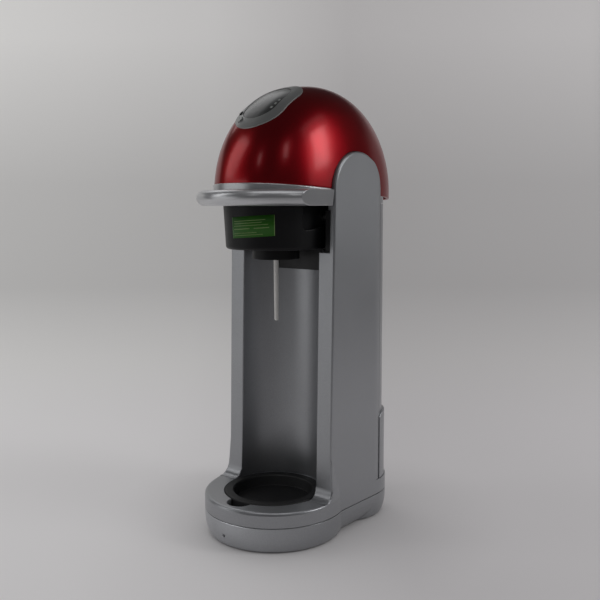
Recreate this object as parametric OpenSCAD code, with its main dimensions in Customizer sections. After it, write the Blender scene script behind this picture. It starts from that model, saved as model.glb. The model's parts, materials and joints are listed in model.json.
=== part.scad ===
// Sparkling water maker: a silver tower with a bottle bay, a red domed press lever,
// a tilting bottle head, a lift-out drip tray and a gas cylinder behind a pull-off rear cover.
// Front is -Y, up is +Z, and the origin is under the middle of the whole outline.

/* [Tower] */
// Width across the two side faces
tower_w = 131; // [126:1:134]
// How far the rear face lies behind the origin
tower_rear = 79.5; // [79:0.5:84]
// Radius of the upright rear corners
tower_corner_r = 45; // [36:1:52]
// Wall of the moulded shells
wall = 3; // [2.4:0.1:3.6]
// Front of the arms at their foot, in front of the origin
arm_foot = 38.5; // [34:0.5:42]
// Radius of the rounded arm tops
arch_r = 37.5; // [34:0.5:39]
// Thickness of the arm tops that carry the lever
arch_t = 8.5; // [7:0.5:9]
// Radius of the bottle bay
bay_r = 48.5; // [46:0.5:50]
// Centre of the bottle bay, in front of the origin
bay_y = 42; // [40:0.5:44]
// Height of the black mechanism frame's lower edge
bay_top = 254; // [246:1:262]
// Solid band at the top of the hollow arms
arm_cap = 12; // [10:0.5:15]

/* [Base] */
// Radius of the round front of the base
base_front_r = 69; // [66:0.5:72]
// Centre of the round front, in front of the origin
base_front_y = 41; // [39:0.5:43]
// Width of the base behind its round front
base_w = 131; // [131:1:137]
// How far the base reaches behind the origin
base_rear = 87; // [85:0.5:91]
// Height of the deck
deck_z = 40; // [38:0.5:42]
// Height of the parting line between deck and pan
parting_z = 25; // [23:0.5:26]
// Visible groove at the parting line
parting_gap = 0.5; // [0.3:0.1:0.8]
// How far the pan tucks in towards the floor
pan_tuck = 4.2; // [3:0.2:6]
// Height of the rubber feet
foot_h = 1; // [1:0.5:3]
// Radius of the rubber feet
foot_r = 8; // [6:0.5:9]

/* [Lever] */
// Lever axis behind the origin
pivot_y = 8; // [6:0.5:10]
// Lever axis above the floor
pivot_z = 329; // [325:1:333]
// Radius of the dome round the lever axis
dome_r = 102; // [99:0.5:104]
// Width of the dome along the lever axis
dome_w = 128; // [124:1:131]
// Power of the dome's cross-section curve
dome_power = 2.43; // [2.2:0.01:2.6]
// Wall of the dome
dome_wall = 2.8; // [2.2:0.1:3.4]
// Upward tilt of the dome's foot towards the front
foot_tilt = 4.5; // [3.5:0.5:5.5]
// Radius of the visor's rounded lip
visor_r = 80; // [78:0.5:82]
// Centre of the visor, in front of the origin
visor_y = 30; // [28:0.5:32]
// Width across the visor's flat ears
visor_w = 130; // [126:1:132]
// Thickness of the visor
visor_t = 14.5; // [13:0.5:15.5]
// Running gap between the dome's slots and the arm tops
slot_gap = 0.8; // [0.6:0.1:2]
// Diameter of the lever pins
lever_pin_d = 8; // [6:0.5:9]
// Diameter of the push bar
push_bar_d = 8; // [6:0.5:9]

/* [Display] */
// Angle of the display above the horizontal, from the lever axis
panel_angle = 56; // [54:1:59]
// Width of the oval bezel
bezel_w = 54; // [51:1:56]
// Length of the oval bezel
bezel_l = 77; // [74:1:80]
// Height of the bezel over the dome
bezel_t = 1; // [0.8:0.1:2]
// Width of the window
window_w = 37; // [34:0.5:38]
// Length of the window
window_l = 56; // [52:0.5:57]
// Diameter of the start button
start_button_d = 5.2; // [4:0.2:5.6]
// Diameter of the reset button
reset_button_d = 4; // [3:0.2:4.4]
// Travel of the buttons
button_travel = 0.8; // [0.5:0.1:1]

/* [Head] */
// Radius of the round head
head_r = 50; // [47:0.5:51]
// How far the head narrows towards its underside
head_taper = 2.2; // [1:0.1:3]
// Centre of the head and nozzle, in front of the origin
head_y = 37; // [35:0.5:39]
// Underside of the head
head_z = 276; // [272:1:280]
// Height of the head
head_h = 46; // [42:1:47]
// Flat back of the head, in front of the origin
head_back = 8; // [8:0.5:12]
// Tilt axis of the head, in front of the origin
tilt_y = 18; // [17:0.5:22]
// Tilt axis of the head above the floor
tilt_z = 306; // [305:0.5:307]
// Diameter of the tilt pins
tilt_pin_d = 8; // [6:0.5:8]
// Radius of the bottle collar
collar_r = 22.5; // [20:0.1:24]
// How far the collar hangs below the head
collar_drop = 10; // [8:0.5:12]
// Radius of the bottle neck's socket
socket_r = 16.5; // [15:0.5:18]
// Depth of the socket
socket_depth = 24; // [20:1:28]
// Lowest point of the nozzle
nozzle_z = 206; // [200:1:215]
// Diameter of the nozzle
nozzle_d = 5.2; // [4.4:0.1:6]

/* [Tray] */
// Radius of the drip tray
tray_r = 47.6; // [46:0.2:48]
// Centre of the tray, in front of the origin
tray_y = 43.6; // [42:0.2:45]
// Gap round the tray
tray_gap = 0.5; // [0.3:0.1:0.8]
// Width of the tray's flat rim
tray_rim = 8; // [6:0.5:10]

/* [Gas] */
// Diameter of the gas cylinder
cylinder_d = 60; // [58:0.5:61]
// Axis of the cylinder behind the origin
cylinder_y = 42; // [41.5:0.5:43]
// Underside of the cylinder
cylinder_z = 14; // [13:0.5:16]
// Length of the cylinder's straight side
cylinder_side = 278; // [260:1:284]
// Diameter of the cylinder's screw spigot
spigot_d = 21; // [19:0.5:22]
// Diameter of the valve block
valve_d = 40; // [37:1:42]
// Height of the valve block
valve_h = 30; // [27:0.5:31]
// Diameter of the valve plunger
plunger_d = 6; // [5:0.5:7]

/* [Hidden] */
$fn = 96;

silver = [0.62, 0.63, 0.65];
red = [0.55, 0.02, 0.06];
charcoal = [0.13, 0.13, 0.14];
black = [0.05, 0.05, 0.05];
brass = [0.72, 0.58, 0.30];
steel = [0.70, 0.71, 0.73];
white = [0.90, 0.90, 0.87];

// Clearances shared by neighbouring pieces
pin_play = 0.04;
lift_gap = 0.3;
seat_gap = 0.4;

// Tower and base
tower_hw = tower_w / 2;
base_hw = base_w / 2;
shell_z = parting_z + parting_gap;
deck_under = deck_z - wall;
arm_back = pivot_y + arch_r;
arch_in = tower_hw - arch_t;
arm_cap_drop = 17;
arm_cap_top = pivot_z - arm_cap_drop;
arm_hollow_top = arm_cap_top - arm_cap;
tower_corner = tower_hw - tower_corner_r;
base_corner = base_hw - tower_corner_r;
waist_tuck = 2.5 * pan_tuck;
flare_h = 60;
flare_sink = 1.5;
notch_rim = 6.8;
notch_r = base_front_y + base_front_r - tray_y - tray_r - notch_rim;
rest_r = 18;
screw_r = 1.45;
screw_head_r = 3;
base_screw_l = 14;
frame_screw_l = 13;
valve_screw_l = 12;
far = 600;

// Lever
visor_drop = 12.5;
visor_z = pivot_z - visor_drop;
visor_top = visor_z + visor_t;
lever_gap = 1;
yoke_in = arch_in - 7;
yoke_t = 5;
yoke_out = yoke_in + yoke_t;
yoke_boss_r = 12;
yoke_foot = 44;
bar_ahead = 30;
bar_rise = 33;
bar_y = pivot_y - bar_ahead;
bar_z = pivot_z + bar_rise;
visor_back = pivot_y - arch_r - lever_gap;
band_gap = 0.9;

// Mechanism frame
frame_hw = arch_in - 8;
frame_cheek = 6;
frame_front = 4 - head_back;
frame_wall = 12;
frame_rear = cylinder_y + 31;
deck_rise = 11;
frame_deck_z = pivot_z + deck_rise;
frame_deck_t = 10;
frame_top = frame_deck_z + frame_deck_t;
port_z = tilt_z - 4;
port_r = 3.5;
tube_r = 2;
tube_y = frame_front + 9.5;
gas_x = 14;
gas_z = frame_top + 22;
gas_seat_y = cylinder_y - 11;

// Valve train
valve_top = frame_top + valve_h;
spigot_len = 16;
gasket_t = 1.7;
socket_top = frame_top + spigot_len + gasket_t + 0.3;
plunger_top = valve_top + 7;
plunger_head_t = 2.5;
rocker_t = 5;
rocker_w = 16;
rocker_z = plunger_top + 0.2;
rocker_pin_d = 6;
rocker_pin_back = 25;
rocker_pin_y = cylinder_y + rocker_pin_back;
rocker_pin_z = rocker_z + rocker_t / 2;
lug_t = 6;
lug_r = 6;
lug_in = rocker_w / 2 + 1;

// Gas cylinder
shoulder_z = cylinder_z + cylinder_side;
neck_r = 13;
neck_bore_r = 8;
neck_z = frame_deck_z - 8;

// Display, in a frame on the lever axis with +Z out through the window
board_w = 48;
board_l = 62;
board_z = dome_r - 16.6;
board_t = 1.6;
lcd_t = 7.5;
switch_h = 4;
start_at = [-13.7, -27.7];
reset_at = [-20.7, -16.5];
post_at = [[-17, 25], [17, 25], [17, -25], [-22, -3]];

// Head
head_top = head_z + head_h;
collar_z = head_z - collar_drop;
socket_z = collar_z + socket_depth;
tilt_seat = frame_hw - 10;
head_room = 3;
ear_out = tower_hw - 6;
ear_front = -27;
ear_low = head_z - 2.5;

// Screw places
base_screw_at = [[0.35 * base_front_r, -base_front_y - 0.62 * base_front_r], [45, 50]];
frame_screw_at = [[frame_front + frame_wall + 6, pivot_z - 23], [arm_back - 9, pivot_z - 23]];

// Draws its children and their mirror image across the middle plane
module both() {
  children();
  mirror([1, 0, 0]) children();
}

// Extrudes an outline of (y, z) points along X
module along_x(x0, x1) {
  translate([x0, 0, 0]) rotate([90, 0, 90]) linear_extrude(x1 - x0) children();
}

// Extrudes an outline of (x, z) points along Y
module along_y(y0, y1) {
  translate([0, y1, 0]) rotate([90, 0, 0]) linear_extrude(y1 - y0) children();
}

module rod_x(x0, x1, r, y, z) {
  translate([x0, y, z]) rotate([0, 90, 0]) cylinder(h = x1 - x0, r = r);
}

module rod_y(y0, y1, r, x, z) {
  translate([x, y1, z]) rotate([90, 0, 0]) cylinder(h = y1 - y0, r = r);
}

module rod_z(z0, z1, r, x, y) {
  translate([x, y, z0]) cylinder(h = z1 - z0, r = r);
}

module block(x0, x1, y0, y1, z0, z1) {
  translate([x0, y0, z0]) cube([x1 - x0, y1 - y0, z1 - z0]);
}

// A screw along +Z whose head's underside is at the origin
module screw(shank_r, length, head_r, head_t) {
  translate([0, 0, -head_t]) cylinder(h = head_t, r = head_r);
  cylinder(h = length, r = shank_r);
}

// Points of a round wire coiled upwards, with the given turns
function coil_ring(r, wire, a, z, sides) =
  [for (j = [0 : sides - 1]) let (b = 360 * j / sides)
    [(r + wire * cos(b)) * cos(a), (r + wire * cos(b)) * sin(a), z + wire * sin(b)]];

module coil(r, wire, z0, z1, turns) {
  sides = 6;
  steps = turns * 8;
  rise = z1 - z0 - 2 * wire;
  points = [for (i = [0 : steps]) each coil_ring(r, wire, 45 * i, z0 + wire + rise * i / steps, sides)];
  sides_of = [for (i = [0 : steps - 1], j = [0 : sides - 1]) each [
    [i * sides + j, (i + 1) * sides + (j + 1) % sides, i * sides + (j + 1) % sides],
    [i * sides + j, (i + 1) * sides + j, (i + 1) * sides + (j + 1) % sides]]];
  last = steps * sides;
  start_cap = [for (j = [1 : sides - 2]) [0, j, j + 1]];
  end_cap = [for (j = [1 : sides - 2]) [last, last + j + 1, last + j]];
  polyhedron(points, concat(sides_of, start_cap, end_cap));
}

// Upright outline of the tower, drawn in by an offset
module tower_plan(inset) {
  hw = tower_hw - inset;
  rear = tower_rear - inset;
  r = tower_corner_r - inset;
  translate([-hw, -bay_y]) square([2 * hw, bay_y + tower_rear - tower_corner_r]);
  for (s = [-1, 1]) translate([s * tower_corner, tower_rear - tower_corner_r]) circle(r);
  translate([-tower_corner, 0]) square([2 * tower_corner, rear]);
}

// Outline of the base, drawn in by an offset
module base_plan(inset) {
  hw = base_hw - inset;
  rear = base_rear - inset;
  r = tower_corner_r - inset;
  translate([0, -base_front_y]) circle(base_front_r - inset);
  translate([-hw, -base_front_y]) square([2 * hw, base_front_y + base_rear - tower_corner_r]);
  for (s = [-1, 1]) translate([s * base_corner, base_rear - tower_corner_r]) circle(r);
  translate([-base_corner, 0]) square([2 * base_corner, rear]);
}

// Side view of an arm in (y, z), drawn in by an offset
module arm_side(inset) {
  r = arch_r - inset;
  translate([pivot_y, pivot_z]) circle(r);
  polygon([[inset - arm_foot, 0], [pivot_y - r, pivot_z], [pivot_y + r, pivot_z], [pivot_y + r, 0]]);
}

// Concave blend between the front of the arms and the deck, in (y, z)
module arm_foot_blend() {
  r = 11;
  front = -arm_foot + 1;
  difference() {
    translate([front - r, deck_z - 1]) square([r + 2, r + 1]);
    translate([front - r, deck_z + r]) circle(r);
  }
}

// Outer flank of each arm's foot, flared to meet the round front of the base
module arm_flare() {
  intersection() {
    union() {
      along_x(-base_front_r, base_front_r) arm_side(0);
      along_x(-base_front_r, base_front_r) arm_foot_blend();
    }
    translate([0, -base_front_y, deck_z - 1])
      cylinder(h = flare_h, r1 = base_front_r, r2 = tower_hw - flare_sink);
    both() block(tower_hw - 1, far, -far, far, 0, far);
  }
}

// Wall round the back of the tower that closes it between the rear cover and the dome
module neck_band() {
  intersection() {
    difference() {
      translate([0, 0, cover_top + seat_gap]) linear_extrude(20) tower_plan(0);
      translate([0, 0, cover_top]) linear_extrude(22) tower_plan(wall);
    }
    at_lever() block(-far, far, -far, far, -far, -band_gap);
    block(-far, far, arm_back - 4, far, 0, far);
  }
}

module front_shell() {
  color(silver) difference() {
    union() {
      difference() {
        union() {
          intersection() {
            along_x(-tower_hw, tower_hw) arm_side(0);
            translate([0, 0, deck_under]) linear_extrude(far) tower_plan(0);
          }
          along_x(-tower_hw, tower_hw) arm_foot_blend();
          translate([0, 0, shell_z]) linear_extrude(deck_z - shell_z) base_plan(0);
          arm_flare();
          neck_band();
        }
        translate([0, 0, shell_z - 1]) linear_extrude(deck_under - shell_z + 1) base_plan(wall);
        difference() {
          intersection() {
            along_x(-tower_hw + wall, tower_hw - wall) arm_side(wall);
            translate([0, 0, deck_under - 1]) linear_extrude(arm_hollow_top - deck_under + 1) tower_plan(wall);
          }
          rod_z(0, far, bay_r + wall, 0, -bay_y);
        }
        block(-tower_hw + wall, tower_hw - wall, arm_back - wall - 1, arm_back + 1, deck_under - 1, arm_hollow_top);
      }
      rod_z(shell_z, deck_z - 1, tray_r + tray_gap + wall, 0, -tray_y);
      rod_z(shell_z, deck_z - 1, notch_r + wall, 0, -tray_y - tray_r);
      both() for (p = base_screw_at) rod_z(foot_h + wall, deck_z - 1, 4, p[0], p[1]);
    }
    rod_z(deck_z, far, bay_r, 0, -bay_y);
    rod_z(shell_z + 2, far, tray_r + tray_gap, 0, -tray_y);
    rod_z(shell_z + 6, deck_z + 1, notch_r, 0, -tray_y - tray_r);
    block(-frame_hw - 0.2, frame_hw + 0.2, frame_front - seat_gap, arm_back + 1, bay_top, far);
    block(-arch_in, arch_in, -far, far, arm_cap_top, far);
    block(-ear_out - 0.2, ear_out + 0.2, -far, frame_front + frame_wall + 0.2, ear_low, arm_cap_top);
    rod_z(shell_z - 1, deck_z + 1, cylinder_d / 2 + wall, 0, cylinder_y);
    both() {
      rod_x(arch_in - 1, tower_hw - 2.5, lever_pin_d / 2, pivot_y, pivot_z);
      for (p = base_screw_at) rod_z(0, shell_z - wall, 1.5, p[0], p[1]);
      for (p = frame_screw_at) rod_x(frame_hw, frame_hw + 8, 1.5, p[0], p[1]);
    }
  }
}

// Half of the pan's tucked side as (distance, height) points, for an edge at the given distance
function tuck_side(edge, low, tuck) =
  [for (i = [0 : 8]) let (u = i / 8) [edge - tuck * pow(1 - u, 3), low + (parting_z - low) * u]];

module tuck_outline(edge, low, tuck, over) {
  rim = over > 0 ? [[edge, parting_z + over], [0, parting_z + over]] : [[0, parting_z]];
  polygon(concat([[0, low]], tuck_side(edge, low, tuck), rim));
}

// Solid of the pan, drawn in by an offset and carried over its rim
module pan_solid(inset, over) {
  low = foot_h + inset;
  r = tower_corner_r - inset;
  rear_y = base_rear - tower_corner_r;
  translate([0, -base_front_y, 0]) rotate_extrude() tuck_outline(base_front_r - inset, low, pan_tuck, over);
  both() {
    translate([base_corner, rear_y, 0]) rotate_extrude() tuck_outline(r, low, pan_tuck, over);
    along_y(-base_front_y, rear_y) tuck_outline(base_hw - inset, low, waist_tuck, over);
  }
  intersection() {
    along_x(-base_corner, base_corner) tuck_outline(base_rear - inset, low, pan_tuck, over);
    block(-far, far, 0, far, 0, far);
  }
}

module base_pan() {
  hole_x = -4.5;
  hole_z = 11.5;
  color(silver) difference() {
    pan_solid(0, 0);
    difference() {
      pan_solid(wall, 1);
      rod_z(0, cylinder_z - 4, 20, 0, cylinder_y);
    }
    both() for (p = base_screw_at) {
      rod_z(0, far, 1.8, p[0], p[1]);
      rod_z(0, foot_h + 1.8, 3.4, p[0], p[1]);
    }
    rod_y(-base_front_y - base_front_r - 1, -base_front_y - base_front_r + 9, 1.7, hole_x, hole_z);
  }
}

foot_at = [[36, -72], [30, 62]];

module rubber_feet() {
  color(black) both() for (p = foot_at) rod_z(0, foot_h, foot_r, p[0], p[1]);
}

module base_screws() {
  color(steel) both() for (p = base_screw_at)
    translate([p[0], p[1], foot_h + 1.8]) screw(screw_r, base_screw_l, screw_head_r, 1.4);
}

module cylinder_rest() {
  color(black) rod_z(cylinder_z - 4, cylinder_z - lift_gap, rest_r, 0, cylinder_y);
}

// Black moulding that fills the top of the tower and carries the pins and the valve
module mechanism_frame() {
  cheek_in = frame_hw - frame_cheek;
  color(black) difference() {
    union() {
      block(-frame_hw, frame_hw, frame_front, frame_front + frame_wall, bay_top, frame_top);
      both() block(cheek_in, frame_hw, frame_front, arm_back, pivot_z - 35, frame_top);
      block(-frame_hw, frame_hw, frame_front, frame_rear, frame_deck_z, frame_top);
      both() difference() {
        block(frame_hw - 1, ear_out, ear_front, frame_front + frame_wall, ear_low + 0.2, arm_cap_top - 0.2);
        rod_z(0, far, head_r + head_room, 0, -head_y);
        rod_x(0, ear_out - 2, tilt_pin_d / 2, -tilt_y, tilt_z);
      }
      both() {
        block(lug_in, lug_in + lug_t, rocker_pin_y - lug_r, rocker_pin_y + lug_r, frame_top - 1, rocker_pin_z);
        rod_x(lug_in, lug_in + lug_t, lug_r, rocker_pin_y, rocker_pin_z);
      }
    }
    rod_z(frame_deck_z - 1, frame_top + 1, neck_r + 5, 0, cylinder_y);
    block(gas_x - 3, gas_x + 3, tube_y - 2.5, frame_front + frame_wall + 1, port_z - 4, frame_deck_z + 1);
    rod_z(frame_deck_z - 1, frame_top + 1, tube_r + 0.4, gas_x, tube_y);
    rod_y(frame_front - 1, tube_y, port_r, gas_x, port_z);
    rod_x(-far, far, rocker_pin_d / 2, rocker_pin_y, rocker_pin_z);
    rod_x(-far, far, lever_pin_d / 2, pivot_y, pivot_z);
    both() {
      for (p = frame_screw_at) rod_x(cheek_in - 1, frame_hw + 1, 1.8, p[0], p[1]);
      rod_z(frame_top - 8, frame_top + 1, 1.5, valve_d / 2 + 5, cylinder_y);
    }
  }
}

module frame_screws() {
  color(steel) both() for (p = frame_screw_at)
    translate([frame_hw - frame_cheek, p[0], p[1]]) rotate([0, 90, 0]) screw(screw_r, frame_screw_l, screw_head_r, 2);
}

module lever_pins() {
  color(steel) both()
    rod_x(frame_hw - frame_cheek, tower_hw - 2.5 - 0.2, lever_pin_d / 2 - pin_play / 2, pivot_y, pivot_z);
}

module tilt_pins() {
  color(steel) both()
    rod_x(tilt_seat + 0.3, ear_out - 2.2, tilt_pin_d / 2 - pin_play / 2, -tilt_y, tilt_z);
}

// Block that the cylinder screws into, with the plunger guide on top
module valve_block() {
  ear = valve_d / 2 + 10;
  color(brass) difference() {
    union() {
      rod_z(frame_top, valve_top, valve_d / 2, 0, cylinder_y);
      block(-ear, ear, cylinder_y - 6, cylinder_y + 6, frame_top, frame_top + 5);
    }
    rod_z(frame_top - 1, socket_top, spigot_d / 2 + pin_play, 0, cylinder_y);
    rod_z(frame_top, valve_top + 1, plunger_d / 2 + pin_play, 0, cylinder_y);
    rod_y(cylinder_y - valve_d, gas_seat_y, tube_r, gas_x, gas_z);
    rod_y(gas_seat_y - 1, cylinder_y, 1.2, gas_x, gas_z);
    rod_x(0, gas_x + 1, 1.2, cylinder_y, gas_z);
    both() rod_z(frame_top - 1, far, 1.8, valve_d / 2 + 5, cylinder_y);
  }
}

module valve_screws() {
  color(steel) both()
    translate([valve_d / 2 + 5, cylinder_y, frame_top + 5]) rotate([180, 0, 0]) screw(screw_r, valve_screw_l, screw_head_r, 2);
}

module cylinder_gasket() {
  color(charcoal) difference() {
    rod_z(socket_top - gasket_t, socket_top, spigot_d / 2 - 0.1, 0, cylinder_y);
    rod_z(socket_top - far, socket_top + 1, plunger_d / 2 + 1.5, 0, cylinder_y);
  }
}

// Gas line from the valve block down to the port behind the head
module gas_tube() {
  r = tube_r - 0.03;
  color(steel) {
    rod_y(tube_y, gas_seat_y - 0.2, r, gas_x, gas_z);
    translate([gas_x, tube_y, gas_z]) sphere(r);
    rod_z(port_z, gas_z, r, gas_x, tube_y);
    translate([gas_x, tube_y, port_z]) sphere(r);
  }
}

module gas_port() {
  color(brass) difference() {
    rod_y(frame_front - 2.5, tube_y - tube_r - 0.2, port_r - 0.02, gas_x, port_z);
    rod_y(frame_front - 3, tube_y, 1.2, gas_x, port_z);
  }
}

module port_seal() {
  color(charcoal) difference() {
    rod_y(-head_back + lift_gap, frame_front - 2.5, port_r, gas_x, port_z);
    rod_y(-far, 0, 1.2, gas_x, port_z);
  }
}

module rocker_pin() {
  reach = lug_in + lug_t;
  color(steel) rod_x(-reach, reach, rocker_pin_d / 2 - pin_play / 2, rocker_pin_y, rocker_pin_z);
}

spring_y = pivot_y - 16;

module lever_springs() {
  color(steel) both() translate([yoke_in + yoke_t / 2, spring_y, 0])
    coil(2.2, 0.5, arm_cap_top + 0.1, visor_top - 0.1, 6);
}

// Cross-section of the dome as (radius, distance along the axis) points, grown by an offset
function dome_curve(grow) =
  [for (i = [-22 : 22]) let (t = 90 * i / 22, e = 2 / dome_power)
    [(dome_r + grow) * pow(cos(t), e), (dome_w / 2 + grow) * sign(t) * pow(abs(sin(t)), e)]];

// Solid of revolution round the lever axis, in the lever's own frame
module dome_body(grow) {
  rotate([0, 90, 0]) rotate_extrude() polygon(dome_curve(grow));
}

// Places its children on the lever axis, turned with the dome's foot
module at_lever() {
  translate([0, pivot_y, pivot_z]) rotate([-foot_tilt, 0, 0]) children();
}

// Places its children on the lever axis with +Z out through the window
module at_panel() {
  translate([0, pivot_y, pivot_z]) rotate([90 - panel_angle, 0, 0]) children();
}

// Oval made of a long middle and two round ends that meet it smoothly
module oval(w, l) {
  translate([-w / 2, -(l - w) / 2]) square([w, l - w]);
  for (s = [-1, 1]) translate([0, s * (l - w) / 2]) circle(d = w);
}

module oval_post(w, l, z0, z1) {
  translate([0, 0, z0]) linear_extrude(z1 - z0) oval(w, l);
}

module button_holes(play) {
  translate([start_at[0], start_at[1], board_z]) cylinder(h = 60, r = start_button_d / 2 + play);
  translate([reset_at[0], reset_at[1], board_z]) cylinder(h = 60, r = reset_button_d / 2 + play);
}

module dome() {
  color(red) difference() {
    union() {
      at_lever() intersection() {
        difference() {
          dome_body(0);
          dome_body(-dome_wall);
        }
        block(-far, far, -far, far, 0, far);
      }
      at_panel() intersection() {
        for (p = post_at)
          translate([p[0], p[1], board_z + board_t]) cylinder(h = 30, r = 2.6);
        dome_body(-dome_wall / 2);
      }
    }
    both() rod_x(arch_in - 7, tower_hw + 9, arch_r + slot_gap, pivot_y, pivot_z);
    at_panel() {
      oval_post(window_w + 1, window_l + 1, board_z, dome_r + 9);
      button_holes(0.4);
      for (p = post_at)
        translate([p[0], p[1], board_z]) cylinder(h = 8, r = 1.1);
    }
  }
}

// Silver lip that is pressed by hand, with a collar that the dome stands on
module lever_visor() {
  lip_r = visor_t / 2;
  collar_grow = 0.8;
  collar_wall = 4.2;
  color(silver) difference() {
    union() {
      translate([0, -visor_y, visor_z]) rotate_extrude() {
        square([visor_r - lip_r, visor_t]);
        translate([visor_r - lip_r, lip_r]) intersection() {
          circle(lip_r);
          translate([-1, -lip_r]) square([lip_r + 1, visor_t]);
        }
      }
      difference() {
        translate([0, 0, visor_top - 1]) linear_extrude(20) difference() {
          dome_foot(collar_grow);
          dome_foot(-collar_wall);
        }
        at_lever() block(-far, far, -far, far, 0, far);
      }
    }
    both() block(visor_w / 2, far, -far, far, 0, far);
    rod_z(0, far, head_r + 4.5, 0, -head_y);
    along_x(-far, far) polygon([[visor_back, far], [visor_back, pivot_z],
      [visor_back - 2.2, visor_z - 1], [visor_back - 2.2, 0], [far, 0], [far, far]]);
    both() {
      rod_z(0, far, 1.4, yoke_in + 3.4, -yoke_foot + 6);
      rod_z(0, visor_z + 4, 2.6, yoke_in + 3.4, -yoke_foot + 6);
    }
  }
}

// Outline of the dome's foot seen from above, grown by an offset
module dome_foot(grow) {
  curve = dome_curve(grow);
  translate([0, pivot_y]) {
    polygon([for (p = curve) [p[1], -p[0]]]);
    polygon([for (p = curve) [p[1], p[0]]]);
  }
}

module yoke_right() {
  color(black) difference() {
    union() {
      rod_x(yoke_in, yoke_out, yoke_boss_r, pivot_y, pivot_z);
      rod_x(yoke_in, yoke_out, push_bar_d / 2 + 4, bar_y, bar_z);
      along_x(yoke_in, yoke_out)
        polygon([[-yoke_foot, visor_top], [-yoke_foot, visor_top + 9], [bar_y - 7, bar_z + 3],
          [bar_y + 6, bar_z + 5], [pivot_y + 10, pivot_z + 6], [pivot_y, visor_top]]);
    }
    rod_x(yoke_in - 1, yoke_out + 1, lever_pin_d / 2 + pin_play, pivot_y, pivot_z);
    rod_x(yoke_in - 1, yoke_out + 1, push_bar_d / 2, bar_y, bar_z);
    rod_z(0, visor_top + 9, 1.05, yoke_in + 3.4, -yoke_foot + 6);
  }
}

module yoke_left() {
  mirror([1, 0, 0]) yoke_right();
}

module yoke_screws() {
  color(steel) both()
    translate([yoke_in + 3.4, -yoke_foot + 6, visor_z + 4]) screw(1, 16, 2.4, 1.6);
}

module push_bar() {
  color(steel) rod_x(-yoke_out, yoke_out, push_bar_d / 2 - pin_play / 2, bar_y, bar_z);
}

module display_bezel() {
  color(silver) at_panel() difference() {
    intersection() {
      dome_body(bezel_t);
      oval_post(bezel_w, bezel_l, board_z, dome_r + 20);
    }
    dome_body(0);
    oval_post(window_w, window_l, 0, dome_r + 30);
    button_holes(0.3);
  }
}

module display_window() {
  color(black) at_panel() difference() {
    intersection() {
      dome_body(bezel_t * 0.6);
      oval_post(window_w - 0.2, window_l - 0.2, board_z, dome_r + 20);
    }
    dome_body(-dome_wall);
  }
}

module lcd_module() {
  color(charcoal) at_panel()
    block(-12, 12, -19, 19, board_z + board_t, board_z + board_t + lcd_t);
}

module display_board() {
  color([0.05, 0.25, 0.12]) at_panel() difference() {
    block(-board_w / 2, board_w / 2, -board_l / 2, board_l / 2, board_z, board_z + board_t);
    for (p = post_at)
      translate([p[0], p[1], 0]) cylinder(h = far, r = 1.3);
  }
}

module board_screws() {
  color(steel) at_panel() for (p = post_at)
    translate([p[0], p[1], board_z]) screw(1.05, 6, 2, 1.2);
}

module button_switches() {
  color(charcoal) at_panel() for (p = [start_at, reset_at])
    translate([p[0] - 2.2, p[1] - 2.2, board_z + board_t]) cube([4.4, 4.4, switch_h]);
}

module coin_cell() {
  color(steel) at_panel() translate([0, 0, board_z - 3.2]) cylinder(h = 3.2, r = 10);
}

// Push button along the panel's normal, rounded off just above the bezel
module panel_button(at, d) {
  low = board_z + board_t + switch_h + button_travel + lift_gap;
  intersection() {
    translate([at[0], at[1], low]) cylinder(h = 40, r = d / 2);
    dome_body(bezel_t + button_travel + 0.3);
  }
}

module start_button() {
  color(silver) at_panel() panel_button(start_at, start_button_d);
}

module reset_button() {
  color(black) at_panel() panel_button(reset_at, reset_button_d);
}

// Bent lever from its rear pin, over the plunger, to a pad under the push bar
module rocker() {
  pad_top = bar_z - push_bar_d / 2 - 0.2;
  bend_y = cylinder_y - valve_d / 2 - 4;
  color(steel) difference() {
    union() {
      along_x(-rocker_w / 2, rocker_w / 2)
        polygon([[rocker_pin_y, rocker_z], [bend_y, rocker_z], [bar_y + 8, pad_top - rocker_t],
          [bar_y - 7, pad_top - rocker_t], [bar_y - 7, pad_top], [bar_y + 6, pad_top],
          [bend_y - 2, rocker_z + rocker_t], [rocker_pin_y, rocker_z + rocker_t]]);
      rod_x(-rocker_w / 2, rocker_w / 2, lug_r, rocker_pin_y, rocker_pin_z);
    }
    rod_x(-far, far, rocker_pin_d / 2 + pin_play, rocker_pin_y, rocker_pin_z);
  }
}

module valve_plunger() {
  color(brass) {
    rod_z(frame_top + spigot_len - 1, plunger_top, plunger_d / 2, 0, cylinder_y);
    rod_z(plunger_top - plunger_head_t, plunger_top, plunger_d / 2 + 2.5, 0, cylinder_y);
  }
}

module valve_spring() {
  color(steel) translate([0, cylinder_y, 0])
    coil(plunger_d / 2 + 1.3, 0.5, valve_top + 0.05, plunger_top - plunger_head_t - 0.05, 2);
}

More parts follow.
